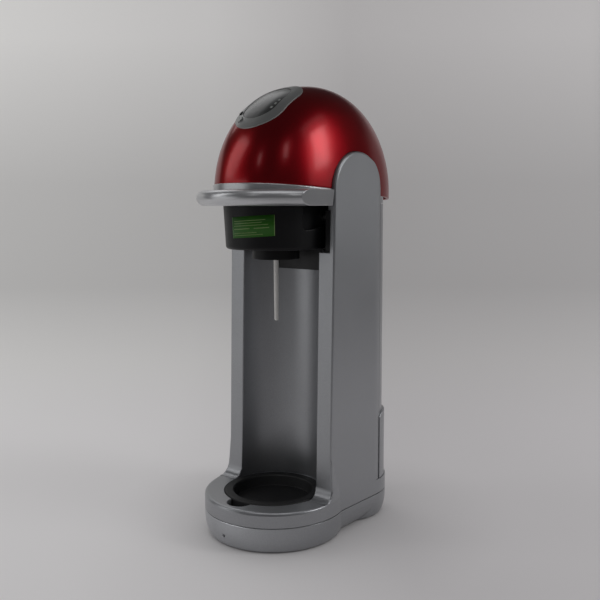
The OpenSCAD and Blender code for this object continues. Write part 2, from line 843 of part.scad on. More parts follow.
// Charcoal housing that tilts forward with the bottle
module bottle_head() {
  edge = 3;
  low_r = head_r - head_taper;
  color(charcoal) difference() {
    intersection() {
      translate([0, -head_y, head_z]) rotate_extrude() {
        polygon([[0, edge], [low_r, edge], [head_r, head_h], [0, head_h]]);
        square([low_r - edge, head_h]);
        translate([low_r - edge, edge]) circle(edge);
      }
      block(-far, far, -far, -head_back, 0, far);
    }
    rod_z(head_z - 1, socket_z, collar_r - 1.5, 0, -head_y);
    rod_z(head_z - 1, socket_z + 10, 6, 0, -head_y);
    rod_z(socket_z, head_top - 8, 2, 0, -head_y);
    rod_y(-head_y, 0, 1.5, gas_x, port_z);
    rod_x(0, gas_x, 1.5, -head_y, port_z);
    both() {
      rod_x(tilt_seat, far, tilt_pin_d / 2 + pin_play, -tilt_y, tilt_z);
      along_x(head_r - 5, far) polygon([[-head_y - 16, far], [-head_y - 16, head_z + 23],
        [-head_y - 15.3, head_z + 20.4], [-head_y - 13.4, head_z + 18.7], [-head_y - 11, head_z + 18.3],
        [-head_y + 21, head_z + 22.5], [-head_y + 21, far]]);
    }
    rod_z(head_top - 12, far, 5, 22, -head_y);
  }
}

module bottle_collar() {
  color(black) difference() {
    union() {
      rod_z(collar_z, head_z, collar_r, 0, -head_y);
      rod_z(head_z - 1, socket_z - 0.1, collar_r - 1.6, 0, -head_y);
    }
    rod_z(collar_z - 1, socket_z - 4, socket_r, 0, -head_y);
    rod_z(collar_z, far, 7.5, 0, -head_y);
  }
}

module bottle_seal() {
  color(charcoal) difference() {
    rod_z(socket_z - 4 - 2.5, socket_z - 4, socket_r - 0.1, 0, -head_y);
    rod_z(collar_z, far, 8.5, 0, -head_y);
  }
}

// White carbonating tube with a rounded tip and a snap-in top
module nozzle() {
  tip_r = nozzle_d / 2 - 0.5;
  color(white) difference() {
    translate([0, -head_y, 0]) {
      translate([0, 0, nozzle_z + tip_r]) {
        sphere(tip_r);
        cylinder(h = socket_z - nozzle_z - tip_r, r1 = tip_r, r2 = nozzle_d / 2);
      }
      translate([0, 0, socket_z - 1]) cylinder(h = 10.8, r = 5.9);
    }
    rod_z(nozzle_z - 1, far, 0.6, 0, -head_y);
  }
}

module relief_valve() {
  color(brass) {
    rod_z(head_top - 11.9, head_top, 4.95, 22, -head_y);
    rod_z(head_top, head_top + 5, 3.5, 22, -head_y);
  }
}

module head_cap() {
  color(black) difference() {
    intersection() {
      rod_z(head_top, head_top + 2.5, head_r - 6, 0, -head_y);
      block(-far, far, -far, -head_back - 3, 0, far);
    }
    rod_z(0, far, 5.5, 22, -head_y);
  }
}

module drip_tray() {
  low = shell_z + 2 + lift_gap;
  rim_z = deck_z + 0.8;
  floor_t = 2;
  color(charcoal) translate([0, -tray_y, 0]) rotate_extrude()
    polygon([[0, low], [tray_r - 2, low], [tray_r, low + 2], [tray_r, rim_z - 0.8], [tray_r - 0.8, rim_z],
      [tray_r - tray_rim, rim_z], [tray_r - tray_rim - 1, rim_z - 1], [tray_r - tray_rim - 2, low + floor_t],
      [0, low + floor_t]]);
}

cover_top = pivot_z - 11;
cover_z = deck_z + seat_gap;
cover_wall = 2.5;
bulge_top = 109;
bulge = 5;
latch_w = 24;
latch_h = 8;
latch_z = cover_top - 20;
latch_travel = 4;
latch_depth = 3.4;
ledge_z = latch_z - 15;

// Rear shell with a thicker grip at its foot
module rear_cover() {
  front = arm_back + seat_gap;
  inner = tower_rear - cover_wall;
  color(silver) difference() {
    union() {
      difference() {
        union() {
          translate([0, 0, cover_z]) linear_extrude(cover_top - cover_z) tower_plan(0);
          intersection() {
            translate([0, bulge, cover_z]) linear_extrude(bulge_top - cover_z) tower_plan(0);
            along_x(-far, far) polygon([[front, 0], [front, bulge_top - bulge], [front + bulge, bulge_top],
              [far, bulge_top], [far, 0]]);
          }
        }
        translate([0, 0, cover_z - 1]) linear_extrude(cover_top - cover_wall - cover_z + 1) tower_plan(cover_wall);
      }
      block(-10, 10, inner - latch_depth, inner + 1, ledge_z - 3, ledge_z);
    }
    block(-far, far, -far, front, 0, far);
    block(-latch_w / 2 - 0.4, latch_w / 2 + 0.4, inner - 1, far, latch_z - latch_travel - 0.6, latch_z + latch_h + 0.4);
    rod_z(cover_top - cover_wall - 1, far, cylinder_d / 2 + 2, 0, cylinder_y);
  }
}

module cover_latch() {
  inner = tower_rear - cover_wall;
  color(charcoal) {
    block(-latch_w / 2 - 3, latch_w / 2 + 3, inner - latch_depth, inner - lift_gap, latch_z - 1,
      latch_z + latch_h + 3);
    block(-latch_w / 2, latch_w / 2, inner - 1, tower_rear + 1.2, latch_z, latch_z + latch_h);
  }
}

module latch_spring() {
  color(steel) translate([0, tower_rear - cover_wall - latch_depth / 2 - lift_gap, 0])
    coil(1.1, 0.25, ledge_z + 0.05, latch_z - 1.05, 6);
}

// Hollow aluminium bottle with a rounded foot and shoulder and an open neck
module gas_cylinder() {
  r = cylinder_d / 2;
  t = 4;
  foot = 8;
  rise = neck_z - shoulder_z - 10;
  inner_floor = cylinder_z + t + 2;
  color(steel) translate([0, cylinder_y, 0]) rotate_extrude()
    polygon(concat([[0, cylinder_z], [r - foot, cylinder_z]],
      [for (a = [15 : 15 : 90]) [r - foot + foot * sin(a), cylinder_z + foot - foot * cos(a)]],
      [for (a = [0 : 10 : 80]) [neck_r + (r - neck_r) * cos(a), shoulder_z + rise * sin(a)]],
      [[neck_r, neck_z - 8], [neck_r, neck_z], [neck_bore_r, neck_z]],
      [for (a = [80 : -10 : 0]) [neck_bore_r + (r - t - neck_bore_r) * cos(a), shoulder_z + (rise - t) * sin(a)]],
      [[r - t, cylinder_z + foot], [r - foot, inner_floor], [0, inner_floor]]));
}

module cylinder_valve() {
  color(brass) difference() {
    union() {
      rod_z(neck_z - 9, neck_z + 1, neck_bore_r - pin_play, 0, cylinder_y);
      rod_z(neck_z, frame_top - 2, neck_r + 2, 0, cylinder_y);
      rod_z(frame_top - 3, frame_top + spigot_len, spigot_d / 2, 0, cylinder_y);
    }
    rod_z(frame_top + 4, far, plunger_d / 2 + 0.6, 0, cylinder_y);
  }
}

front_shell();
base_pan();
rubber_feet();
base_screws();
mechanism_frame();
frame_screws();
lever_pins();
tilt_pins();
valve_block();
valve_screws();
cylinder_gasket();
gas_tube();
gas_port();
port_seal();
rocker_pin();
cylinder_rest();
lever_springs();
dome();
lever_visor();
yoke_left();
yoke_right();
yoke_screws();
push_bar();
display_bezel();
display_window();
lcd_module();
display_board();
board_screws();
button_switches();
coin_cell();
start_button();
reset_button();
rocker();
valve_plunger();
valve_spring();
bottle_head();
bottle_collar();
bottle_seal();
nozzle();
relief_valve();
head_cap();
drip_tray();
rear_cover();
cover_latch();
latch_spring();
gas_cylinder();
cylinder_valve();
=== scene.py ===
"""Looks for the sparkling water maker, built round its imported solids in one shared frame, in metres."""
import json
import math

import bmesh
import bpy
from mathutils import Matrix, Vector

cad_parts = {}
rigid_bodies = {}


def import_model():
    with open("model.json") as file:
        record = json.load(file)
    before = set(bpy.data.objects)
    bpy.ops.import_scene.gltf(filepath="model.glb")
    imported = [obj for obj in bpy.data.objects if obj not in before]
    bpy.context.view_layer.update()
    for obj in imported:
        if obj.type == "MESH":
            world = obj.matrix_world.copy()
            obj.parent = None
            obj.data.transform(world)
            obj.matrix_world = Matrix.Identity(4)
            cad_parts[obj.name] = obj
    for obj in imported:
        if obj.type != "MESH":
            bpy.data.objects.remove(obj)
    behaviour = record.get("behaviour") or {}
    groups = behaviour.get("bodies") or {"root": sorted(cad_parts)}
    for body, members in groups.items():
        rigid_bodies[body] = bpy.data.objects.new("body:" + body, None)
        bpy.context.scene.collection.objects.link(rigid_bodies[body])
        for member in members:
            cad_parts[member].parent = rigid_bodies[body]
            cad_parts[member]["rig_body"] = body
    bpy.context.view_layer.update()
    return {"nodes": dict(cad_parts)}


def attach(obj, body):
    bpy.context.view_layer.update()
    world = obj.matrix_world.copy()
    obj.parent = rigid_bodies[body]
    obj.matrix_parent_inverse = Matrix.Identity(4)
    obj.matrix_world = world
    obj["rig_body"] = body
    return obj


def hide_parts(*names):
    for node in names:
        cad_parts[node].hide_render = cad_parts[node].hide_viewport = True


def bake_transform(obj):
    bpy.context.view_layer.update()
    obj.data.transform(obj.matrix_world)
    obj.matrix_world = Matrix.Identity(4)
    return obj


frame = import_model()
NODES = frame["nodes"]

# Lever: pivot, dome, display window and lip
PIVOT = Vector((0.0, 0.008, 0.329))
DOME_R = 0.10198
DOME_HALF_W = 0.064
DOME_POWER = 2.43
DOME_WALL = 0.0028
DOME_END_R = 0.0380
DOME_RIM_STEPS = 56
DOME_RIM_CROWDING = 1.25
DOME_SPIN_STEPS = 120
FOOT_TILT = math.radians(4.5)
PANEL_TURN = math.radians(34)
WINDOW_W = 0.037
WINDOW_L = 0.056
WINDOW_GAP = 0.001
WINDOW_CUT_LOW = 0.085
WINDOW_CUT_HIGH = 0.112
WINDOW_CROWN_R = 0.1025
WINDOW_CROWN_HALF_W = 0.065
VISOR_LOW = 0.3265
EAR_X = 0.0645
EAR_NOSE_Y = -0.0745

# Marks on the display window: places across and along it, size, and the radius that they lean about
MARK_PLACES = ((0.0146, -0.0124), (0.0154, -0.0066), (0.0158, -0.0006))
MARK_SIZE = (0.0020, 0.0028, 0.0006)
MARK_LEAN_R = 0.06

# Bottle head
HEAD_Y = -0.037
HEAD_R = 0.050
HEAD_TAPER = 0.0022
HEAD_LOW = 0.279
HEAD_TOP = 0.322
HEAD_BACK = -0.020
HEAD_BORE_R = 0.030

# Film on the head: its ends in degrees from the front, its edges, and its climb from end to end
LABEL_START = -13.5
LABEL_END = 40
LABEL_LOW = 0.2868
LABEL_HIGH = 0.3060
LABEL_CLIMB = 0.0028

# Pale print bars on the film, and at its right end a narrow pale strip that is a painted highlight on the
# film's edge: start and end in degrees, lower and upper edge
LABEL_BARS_AND_EDGE_HIGHLIGHT = (
    (-10, 30, 0.3018, 0.3024),
    (-10, 26, 0.2996, 0.3002),
    (-10, 33, 0.2974, 0.2980),
    (-10, 12, 0.2944, 0.2953),
    (17, 34, 0.2944, 0.2953),
    (-10, 20, 0.2908, 0.2914),
    (-10, 27, 0.2888, 0.2894),
    # A painted highlight on the film's right edge, not print
    (39.2, 40, 0.2872, 0.3056),
)

# Tower, base and rear cover
PARTING_Z = 0.025
DECK_Z = 0.040
TOWER_HALF_W = 0.0655
ARM_FRONT = -0.025
ARM_BACK = 0.0455
ARM_FACE_BACK = 0.030
ARM_FOOT_TOP = 0.051
FOOT_BLEND = 0.011
FLARE_Y = -0.0484
RIM_BLEND = 0.014
TRAY_Y = -0.0436
POCKET_R = 0.056
NOTCH_Y = -0.0912
NOTCH_R = 0.0125
PAN_FLOOR_Z = 0.004
PAN_HOLES_R = 0.055
COVER_TOP = 0.318

# Bounds between edges that are rounded differently
TOWER_SEAM_TOP = PARTING_Z + 0.0012
TOWER_BACK_Y = ARM_BACK - 0.001
DECK_FLAT_TOP = DECK_Z + 0.00002
DECK_RIM_TOP = DECK_Z + 0.0002
ARM_SIDE_X = TOWER_HALF_W - 0.0015
PAN_SEAM_LOW = PARTING_Z - 0.0005
COVER_ROOF_LOW = COVER_TOP - 0.004
COVER_SEAM_Y = ARM_BACK + 0.002
COVER_SEAM_TOP = DECK_Z + 0.002
HEAD_FOOT_TOP = HEAD_LOW + 0.002

# Shares of a rounding's full width
TOWER_SEAM_SHARE = 0.12
TOWER_BACK_SHARE = 0.10
POCKET_SHARE = 0.2
ARM_SHARE = 0.3
ARM_SIDE_SHARE = 0.55
LIP_FINE_SHARE = 0.4
PAN_SEAM_SHARE = 0.25
COVER_SEAM_SHARE = 0.2
HEAD_STEP_SHARE = 0.6

# Limits of the clean-up that comes before edges are rounded
WELD = 2e-6
STEP_BAND = 0.0003
STEP_WELD = 0.00045
LEVEL_BAND = 0.0001
SLIVER_W = 0.0001
FLAT_ANGLE = math.radians(0.4)
SHARP_ANGLE = math.radians(32)
DOME_SHARP_ANGLE = math.radians(40)

# Springs, and the body that pushes on each one's top
SPRING_PUSHERS = {"valve_spring": "plunger", "lever_springs": "lever", "latch_spring": "latch"}

# Camera fitted to the photograph
CAMERA_TURN = math.radians(39.01)
CAMERA_DISTANCE = 0.817
CAMERA_HEIGHT = 0.3188
CAMERA_PITCH = math.radians(6.77)
CAMERA_YAW = math.radians(0.41)
CAMERA_ROLL = math.radians(-0.22)
FOCAL_SHARE = 816.4 / 600
SENSOR_W = 36

# Paper sweep, square to the camera, and the point that the lamps are aimed at
SWEEP_FRONT = -3.0
SWEEP_START = 0.28
SWEEP_BEND_R = 0.75
SWEEP_STEPS = 24
SWEEP_TOP = 1.0
SWEEP_HALF_W = 1.7
LAMP_TARGET = PIVOT - Vector((0, 0, 0.05))


def placed(name, data):
    """Adds a new object to the scene."""
    thing = bpy.data.objects.new(name, data)
    bpy.context.scene.collection.objects.link(thing)
    return thing


def mesh_from(bm, name, smooth=True):
    """Turns a bmesh into a mesh and frees it."""
    mesh = bpy.data.meshes.new(name)
    bm.to_mesh(mesh)
    bm.free()
    for face in mesh.polygons:
        face.use_smooth = smooth
    return mesh


def photo_camera():
    turn = CAMERA_TURN + CAMERA_YAW
    ahead = Vector((-math.sin(turn), math.cos(turn), 0))
    right = Vector((math.cos(turn), math.sin(turn), 0))
    up = Vector((0, 0, 1))
    look = ahead * math.cos(CAMERA_PITCH) - up * math.sin(CAMERA_PITCH)
    over = ahead * math.sin(CAMERA_PITCH) + up * math.cos(CAMERA_PITCH)
    side = right * math.cos(CAMERA_ROLL) + over * math.sin(CAMERA_ROLL)
    top = over * math.cos(CAMERA_ROLL) - right * math.sin(CAMERA_ROLL)
    place = Vector((math.sin(CAMERA_TURN) * CAMERA_DISTANCE,
                    PIVOT.y - math.cos(CAMERA_TURN) * CAMERA_DISTANCE, CAMERA_HEIGHT))
    data = bpy.data.cameras.new("photo_camera")
    data.sensor_width = SENSOR_W
    data.lens = SENSOR_W * FOCAL_SHARE
    camera = placed("photo_camera", data)
    camera.matrix_world = Matrix.Translation(place) @ Matrix((side, top, -look)).transposed().to_4x4()
    bpy.context.scene.camera = camera


def new_material(name):
    material = bpy.data.materials.new(name)
    material.use_nodes = True
    tree = material.node_tree
    shader = tree.nodes["Principled BSDF"]
    return material, tree, shader


def wire(tree, a, out, b, into):
    tree.links.new(a.outputs[out], b.inputs[into])


def noise(tree, place, scale, detail=3.0, rough=0.5):
    texture = tree.nodes.new("ShaderNodeTexNoise")
    texture.inputs["Scale"].default_value = scale
    texture.inputs["Detail"].default_value = detail
    texture.inputs["Roughness"].default_value = rough
    wire(tree, place, "Object", texture, "Vector")
    return texture


def spread(tree, source, low, high, start=0.3, end=0.7, out=0):
    """Maps one of a node's values to a range."""
    ranged = tree.nodes.new("ShaderNodeMapRange")
    for name, value in (("From Min", start), ("From Max", end), ("To Min", low), ("To Max", high)):
        ranged.inputs[name].default_value = value
    wire(tree, source, out, ranged, "Value")
    return ranged


def tones(tree, source, dark, light, start=0.3, end=0.7):
    """Maps a node's first value to a run of colour."""
    ramp = tree.nodes.new("ShaderNodeValToRGB")
    ramp.color_ramp.elements[0].position = start
    ramp.color_ramp.elements[0].color = (*dark, 1)
    ramp.color_ramp.elements[1].position = end
    ramp.color_ramp.elements[1].color = (*light, 1)
    wire(tree, source, 0, ramp, "Fac")
    return ramp


def multiplied(tree, first, first_out, second, second_out):
    """Multiplies two runs of colour."""
    product = tree.nodes.new("ShaderNodeMix")
    product.data_type = "RGBA"
    product.blend_type = "MULTIPLY"
    product.inputs["Factor"].default_value = 1.0
    wire(tree, first, first_out, product, "A")
    wire(tree, second, second_out, product, "B")
    return product


def relief(tree, source, shader, strength, distance):
    bump = tree.nodes.new("ShaderNodeBump")
    bump.inputs["Strength"].default_value = strength
    bump.inputs["Distance"].default_value = distance
    wire(tree, source, 0, bump, "Height")
    wire(tree, bump, "Normal", shader, "Normal")


def flecked(name, dark, light, rough, grain, strength, depth=0.0001, metallic=0.0, coat=0.0, coat_rough=0.03,
            fleck=True, gloss=0.5, rim=(1.0, 1.0, 1.0)):
    """Paint or moulded plastic: fine flecks of tone, cloudy gloss and a fine surface grain."""
    material, tree, shader = new_material(name)
    place = tree.nodes.new("ShaderNodeTexCoord")
    fine = noise(tree, place, scale=grain, detail=2.0, rough=0.6)
    cloud = noise(tree, place, scale=28.0, detail=4.0, rough=0.55)
    colour = tones(tree, fine if fleck else cloud, dark, light)
    wire(tree, colour, "Color", shader, "Base Color")
    wire(tree, spread(tree, cloud, *rough), "Result", shader, "Roughness")
    relief(tree, fine, shader, strength, depth)
    shader.inputs["Metallic"].default_value = metallic
    shader.inputs["Coat Weight"].default_value = coat
    shader.inputs["Coat Roughness"].default_value = coat_rough
    shader.inputs["Coat IOR"].default_value = 1.42
    shader.inputs["Specular IOR Level"].default_value = gloss
    shader.inputs["Specular Tint"].default_value = (*rim, 1)
    return material


def turned_metal(name, dark, light, rough, stretch):
    """Bare metal with fine tool marks along one direction."""
    material, tree, shader = new_material(name)
    place = tree.nodes.new("ShaderNodeTexCoord")
    mapping = tree.nodes.new("ShaderNodeMapping")
    mapping.inputs["Scale"].default_value = stretch
    wire(tree, place, "Object", mapping, "Vector")
    marks = tree.nodes.new("ShaderNodeTexNoise")
    marks.inputs["Scale"].default_value = 400
    marks.inputs["Detail"].default_value = 3
    wire(tree, mapping, "Vector", marks, "Vector")
    wire(tree, tones(tree, marks, dark, light), "Color", shader, "Base Color")
    wire(tree, spread(tree, marks, *rough), "Result", shader, "Roughness")
    relief(tree, marks, shader, strength=0.08, distance=0.0002)
    shader.inputs["Metallic"].default_value = 1.0
    return material


SILVER = flecked("satin_silver_paint", (0.305, 0.312, 0.327), (0.410, 0.418, 0.435), rough=(0.29, 0.36),
                 grain=2200, strength=0.03, metallic=0.7)
RED = flecked("candy_red_paint", (0.27, 0.001, 0.005), (0.41, 0.002, 0.010), rough=(0.30, 0.38), grain=2200,
              strength=0.04, metallic=0.9, coat=0.8, coat_rough=0.18, rim=(0.45, 0.05, 0.06))
# A lighter copy of the satin silver paint for the visor: painted light that stands in for the light its lip
# catches.
PAINTED_LIGHT_SILVER = flecked("silver_paint_lightened_as_painted_light", (0.50, 0.505, 0.52), (0.63, 0.635, 0.65), rough=(0.26, 0.33),
                        grain=2200, strength=0.03, metallic=0.7)
BEZEL = flecked("grey_bezel_paint", (0.30, 0.305, 0.30), (0.37, 0.375, 0.37), rough=(0.32, 0.40), grain=2600,
                strength=0.05, metallic=0.4)
CHARCOAL = flecked("charcoal_satin_plastic", (0.004, 0.004, 0.0045), (0.008, 0.008, 0.009), rough=(0.38, 0.5),
                   grain=1500, strength=0.12, depth=0.0002, gloss=0.22)
BLACK = flecked("black_moulded_plastic", (0.010, 0.010, 0.0105), (0.016, 0.016, 0.017), rough=(0.5, 0.65),
                grain=1200, strength=0.15, depth=0.0002)
RUBBER = flecked("black_rubber", (0.010, 0.010, 0.010), (0.018, 0.018, 0.017), rough=(0.7, 0.85), grain=900,
                 strength=0.2, depth=0.0002)
WHITE = flecked("off_white_plastic", (0.86, 0.85, 0.82), (0.93, 0.92, 0.89), rough=(0.35, 0.45), grain=700,
                strength=0.05)
WINDOW = flecked("smoked_window", (0.034, 0.035, 0.034), (0.050, 0.051, 0.050), rough=(0.26, 0.34), grain=90,
                 strength=0.0, coat=0.3, coat_rough=0.25, gloss=0.35)
MARK = flecked("pale_display_mark", (0.40, 0.42, 0.40), (0.52, 0.54, 0.52), rough=(0.4, 0.5), grain=900,
               strength=0.02)
GREEN = flecked("green_label_film", (0.022, 0.105, 0.010), (0.034, 0.145, 0.014), rough=(0.3, 0.4), grain=160,
                strength=0.05, fleck=False, gloss=0.2)
# Pale green for the film's print bars and for a painted highlight on its edge.
LABEL_PRINT_AND_HIGHLIGHT = flecked("pale_green_print_and_painted_highlight", (0.16, 0.26, 0.09), (0.22, 0.34, 0.12), rough=(0.4, 0.5), grain=160,
                     strength=0.05, fleck=False, gloss=0.2)
BOARD = flecked("green_solder_mask", (0.01, 0.07, 0.03), (0.016, 0.10, 0.045), rough=(0.35, 0.5), grain=500,
                strength=0.1, depth=0.0002)
STEEL = turned_metal("drawn_steel", (0.42, 0.42, 0.43), (0.56, 0.56, 0.57), rough=(0.25, 0.4),
                     stretch=(1, 6, 6))
BRASS = turned_metal("machined_brass", (0.48, 0.33, 0.12), (0.62, 0.44, 0.18), rough=(0.22, 0.36),
                     stretch=(1, 1, 8))
ALUMINIUM = turned_metal("brushed_aluminium", (0.55, 0.56, 0.57), (0.70, 0.71, 0.72), rough=(0.3, 0.42),
                         stretch=(1, 1, 10))

# Inner pieces that show their solid as it is
PLAIN_FINISH = {
    STEEL: ("base_screws", "frame_screws", "lever_pins", "tilt_pins", "valve_screws", "gas_tube",
            "rocker_pin", "yoke_screws", "push_bar", "board_screws", "coin_cell", "rocker"),
    BRASS: ("valve_block", "gas_port", "valve_plunger", "relief_valve", "cylinder_valve"),
    ALUMINIUM: ("gas_cylinder",),
    RUBBER: ("rubber_feet", "cylinder_gasket", "port_seal", "cylinder_rest", "bottle_seal"),
    BLACK: ("mechanism_frame", "yoke_left", "yoke_right", "head_cap"),
    CHARCOAL: ("lcd_module", "button_switches"),
    BOARD: ("display_board",),
}


def finish_inner_nodes():
    for material, names in PLAIN_FINISH.items():
        for name in names:
            NODES[name].data.materials.clear()
            NODES[name].data.materials.append(material)


def piece_from(bm, name, material, node, rigid=True):
    """Turns a bmesh into a piece with one material which, if rigid, rides with the node's body."""
    mesh = mesh_from(bm, name)
    piece = placed(name, mesh)
    mesh.materials.append(material)
    if rigid:
        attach(piece, NODES[node]["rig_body"])
    return piece


def merged_copy(node):
    bm = bmesh.new()
    bm.from_mesh(NODES[node].data)
    bmesh.ops.remove_doubles(bm, verts=bm.verts, dist=WELD)
    return bm


def round_edges(piece, width, segments=3, angle=SHARP_ANGLE):
    edge = piece.modifiers.new("rounded_edges", "BEVEL")
    edge.width = width
    edge.segments = segments
    edge.limit_method = "ANGLE"
    edge.angle_limit = angle
    edge.profile = 0.5
    return edge


def weigh_edges(bm, share_at):
    """Gives each sharp outer edge its share of the rounding's width, from the edge's middle."""
    weight = bm.edges.layers.float.new("bevel_weight_edge")
    for edge in bm.edges:
        if edge.is_convex and not edge.smooth:
            edge[weight] = share_at((edge.verts[0].co + edge.verts[1].co) / 2)


def is_sliver(face):
    return face.calc_area() < SLIVER_W * max(edge.calc_length() for edge in face.edges)


def is_level(face, height):
    return face.normal.z > 0.99 and abs(face.calc_center_median().z - height) < LEVEL_BAND


def softened(node, name, material, width, segments=3, share_at=None, step_z=None, level_z=None,
             join_flats=True):
    """A copy of a node's solid with its sharp edges rounded over, which stands for it. A step finer than
    half a millimetre at height step_z is closed up, and the broad face at height level_z is split up."""
    bm = merged_copy(node)
    if step_z:
        step = [vert for vert in bm.verts if abs(vert.co.z - step_z) < STEP_BAND]
        bmesh.ops.remove_doubles(bm, verts=step, dist=STEP_WELD)
    if join_flats:
        bmesh.ops.dissolve_limit(bm, angle_limit=FLAT_ANGLE, use_dissolve_boundaries=False,
                                 verts=bm.verts, edges=bm.edges)
    for edge in bm.edges:
        beside_sliver = any(is_sliver(face) for face in edge.link_faces)
        edge.smooth = beside_sliver or edge.calc_face_angle(0) < SHARP_ANGLE
    if share_at:
        weigh_edges(bm, share_at)
    if level_z:
        bmesh.ops.triangulate(bm, faces=[face for face in bm.faces if is_level(face, level_z)])
    piece = piece_from(bm, name, material, node)
    edge = round_edges(piece, width, segments)
    if share_at:
        edge.limit_method = "WEIGHT"
        edge.use_clamp_overlap = False
    even = piece.modifiers.new("even_shading", "WEIGHTED_NORMAL")
    even.weight = 90
    even.keep_sharp = True
    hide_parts(node)
    return piece


def tower_rounding(at):
    """Wide on the deck's rim, narrower on the arms, fine at the tray's pocket and at the seams."""
    if at.z < TOWER_SEAM_TOP:
        return TOWER_SEAM_SHARE
    if at.y > TOWER_BACK_Y and at.z < PIVOT.z:
        return TOWER_BACK_SHARE
    if at.z < DECK_RIM_TOP:
        in_pocket = math.hypot(at.x, at.y - TRAY_Y) < POCKET_R
        in_notch = math.hypot(at.x, at.y - NOTCH_Y) < NOTCH_R
        if in_pocket or in_notch or at.y > 0:
            return POCKET_SHARE
        if at.y > FLARE_Y and at.z < DECK_FLAT_TOP:
            return 0.0
        rim_share = ARM_SHARE + (1 - ARM_SHARE) * (FLARE_Y - at.y) / RIM_BLEND
        return min(1.0, max(ARM_SHARE, rim_share))
    if at.y > ARM_FACE_BACK:
        return 0.0
    if abs(at.x) > ARM_SIDE_X:
        side_share = ARM_SHARE + (ARM_SIDE_SHARE - ARM_SHARE) * (at.z - DECK_Z) / FOOT_BLEND
        return min(ARM_SIDE_SHARE, side_share)
    return ARM_SHARE if at.y < ARM_FRONT else 0.0


def visor_rounding(at):
    """Fine on the flat ears and under the lip, none at the ears' noses, wider on the rest of the lip."""
    if abs(at.x) > EAR_X:
        return 0.0 if at.y < EAR_NOSE_Y else LIP_FINE_SHARE
    return LIP_FINE_SHARE if at.z < VISOR_LOW else 1.0


def pan_rounding(at):
    """Fine at the parting line, wide where the pan meets the floor, none at holes."""
    if at.z > PAN_SEAM_LOW:
        return PAN_SEAM_SHARE
    return 1.0 if at.z < PAN_FLOOR_Z and math.hypot(at.x, at.y) > PAN_HOLES_R else 0.0


def cover_rounding(at):
    """Fine at the seams, wide on the grip's edge, none under the dome."""
    if at.z > COVER_ROOF_LOW:
        return 0.0
    return COVER_SEAM_SHARE if at.y < COVER_SEAM_Y or at.z < COVER_SEAM_TOP else 1.0


def head_rounding(at):
    """Wide on the head's foot, narrower on the side steps, none at its back or in its bores."""
    if at.y > HEAD_BACK or math.hypot(at.x, at.y - HEAD_Y) < HEAD_BORE_R:
        return 0.0
    return 1.0 if at.z < HEAD_FOOT_TOP else HEAD_STEP_SHARE


def front_foot_point(x, radius):
    """A point on the dome's front foot, which is tilted about the lever's axis."""
    flat = Matrix.Rotation(-FOOT_TILT, 3, "X") @ Vector((0, -radius, 0))
    return PIVOT + Vector((x, 0, 0)) + flat


def panel_matrix():
    return Matrix.Translation(PIVOT) @ Matrix.Rotation(PANEL_TURN, 4, "X")


def oval_prism(width, length, low, high, steps=20):
    """Upright oval with round ends, made from two half circles pulled apart."""
    bm = bmesh.new()
    bmesh.ops.create_circle(bm, cap_ends=True, segments=4 * steps, radius=width / 2)
    for vert in bm.verts:
        vert.co.y += math.copysign((length - width) / 2, vert.co.y) if abs(vert.co.y) > 1e-7 else 0
    wall = bmesh.ops.extrude_face_region(bm, geom=bm.faces[:])
    tops = [part for part in wall["geom"] if isinstance(part, bmesh.types.BMVert)]
    bmesh.ops.translate(bm, verts=tops, vec=(0, 0, high - low))
    bmesh.ops.translate(bm, verts=bm.verts, vec=(0, 0, low))
    bmesh.ops.recalc_face_normals(bm, faces=bm.faces)
    return bm


def dome_shell():
    """The dome's outer skin: a rounded section swept half a turn about the lever's axis."""
    power = 2 / DOME_POWER
    end = math.acos((DOME_END_R / DOME_R) ** (1 / power))
    bm = bmesh.new()
    rim = []
    for i in range(-DOME_RIM_STEPS, DOME_RIM_STEPS + 1):
        share = i / DOME_RIM_STEPS
        t = end * math.copysign(1 - (1 - abs(share)) ** DOME_RIM_CROWDING, share)
        x = DOME_HALF_W * math.copysign(abs(math.sin(t)) ** power, t)
        rim.append(bm.verts.new(front_foot_point(x, DOME_R * math.cos(t) ** power)))
    line = [bm.edges.new(pair) for pair in zip(rim, rim[1:])]
    bmesh.ops.spin(bm, geom=rim + line, cent=PIVOT, axis=(1, 0, 0), angle=-math.pi, steps=DOME_SPIN_STEPS)
    bmesh.ops.recalc_face_normals(bm, faces=bm.faces)
    outward = sum((face.normal.dot(face.calc_center_median() - PIVOT) for face in bm.faces), 0.0)
    if outward < 0:
        bmesh.ops.reverse_faces(bm, faces=bm.faces)
    return bm


def red_dome():
    """Dome with its wall and the display window's hole."""
    dome = piece_from(dome_shell(), "red_dome", RED, "dome")
    wall = dome.modifiers.new("wall", "SOLIDIFY")
    wall.thickness = DOME_WALL
    wall.offset = -1
    post = oval_prism(WINDOW_W + WINDOW_GAP, WINDOW_L + WINDOW_GAP, WINDOW_CUT_LOW, WINDOW_CUT_HIGH)
    post.transform(panel_matrix())
    cutter = placed("window_cutter", mesh_from(post, "window_cutter", smooth=False))
    hole = dome.modifiers.new("window_hole", "BOOLEAN")
    hole.object = cutter
    hole.operation = "DIFFERENCE"
    hole.solver = "EXACT"
    bpy.context.view_layer.update()
    shaped = bpy.data.meshes.new_from_object(dome.evaluated_get(bpy.context.evaluated_depsgraph_get()))
    dome.modifiers.clear()
    dome.data = shaped
    bpy.data.objects.remove(cutter)
    round_edges(dome, width=0.0007, segments=2, angle=DOME_SHARP_ANGLE)
    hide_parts("dome")


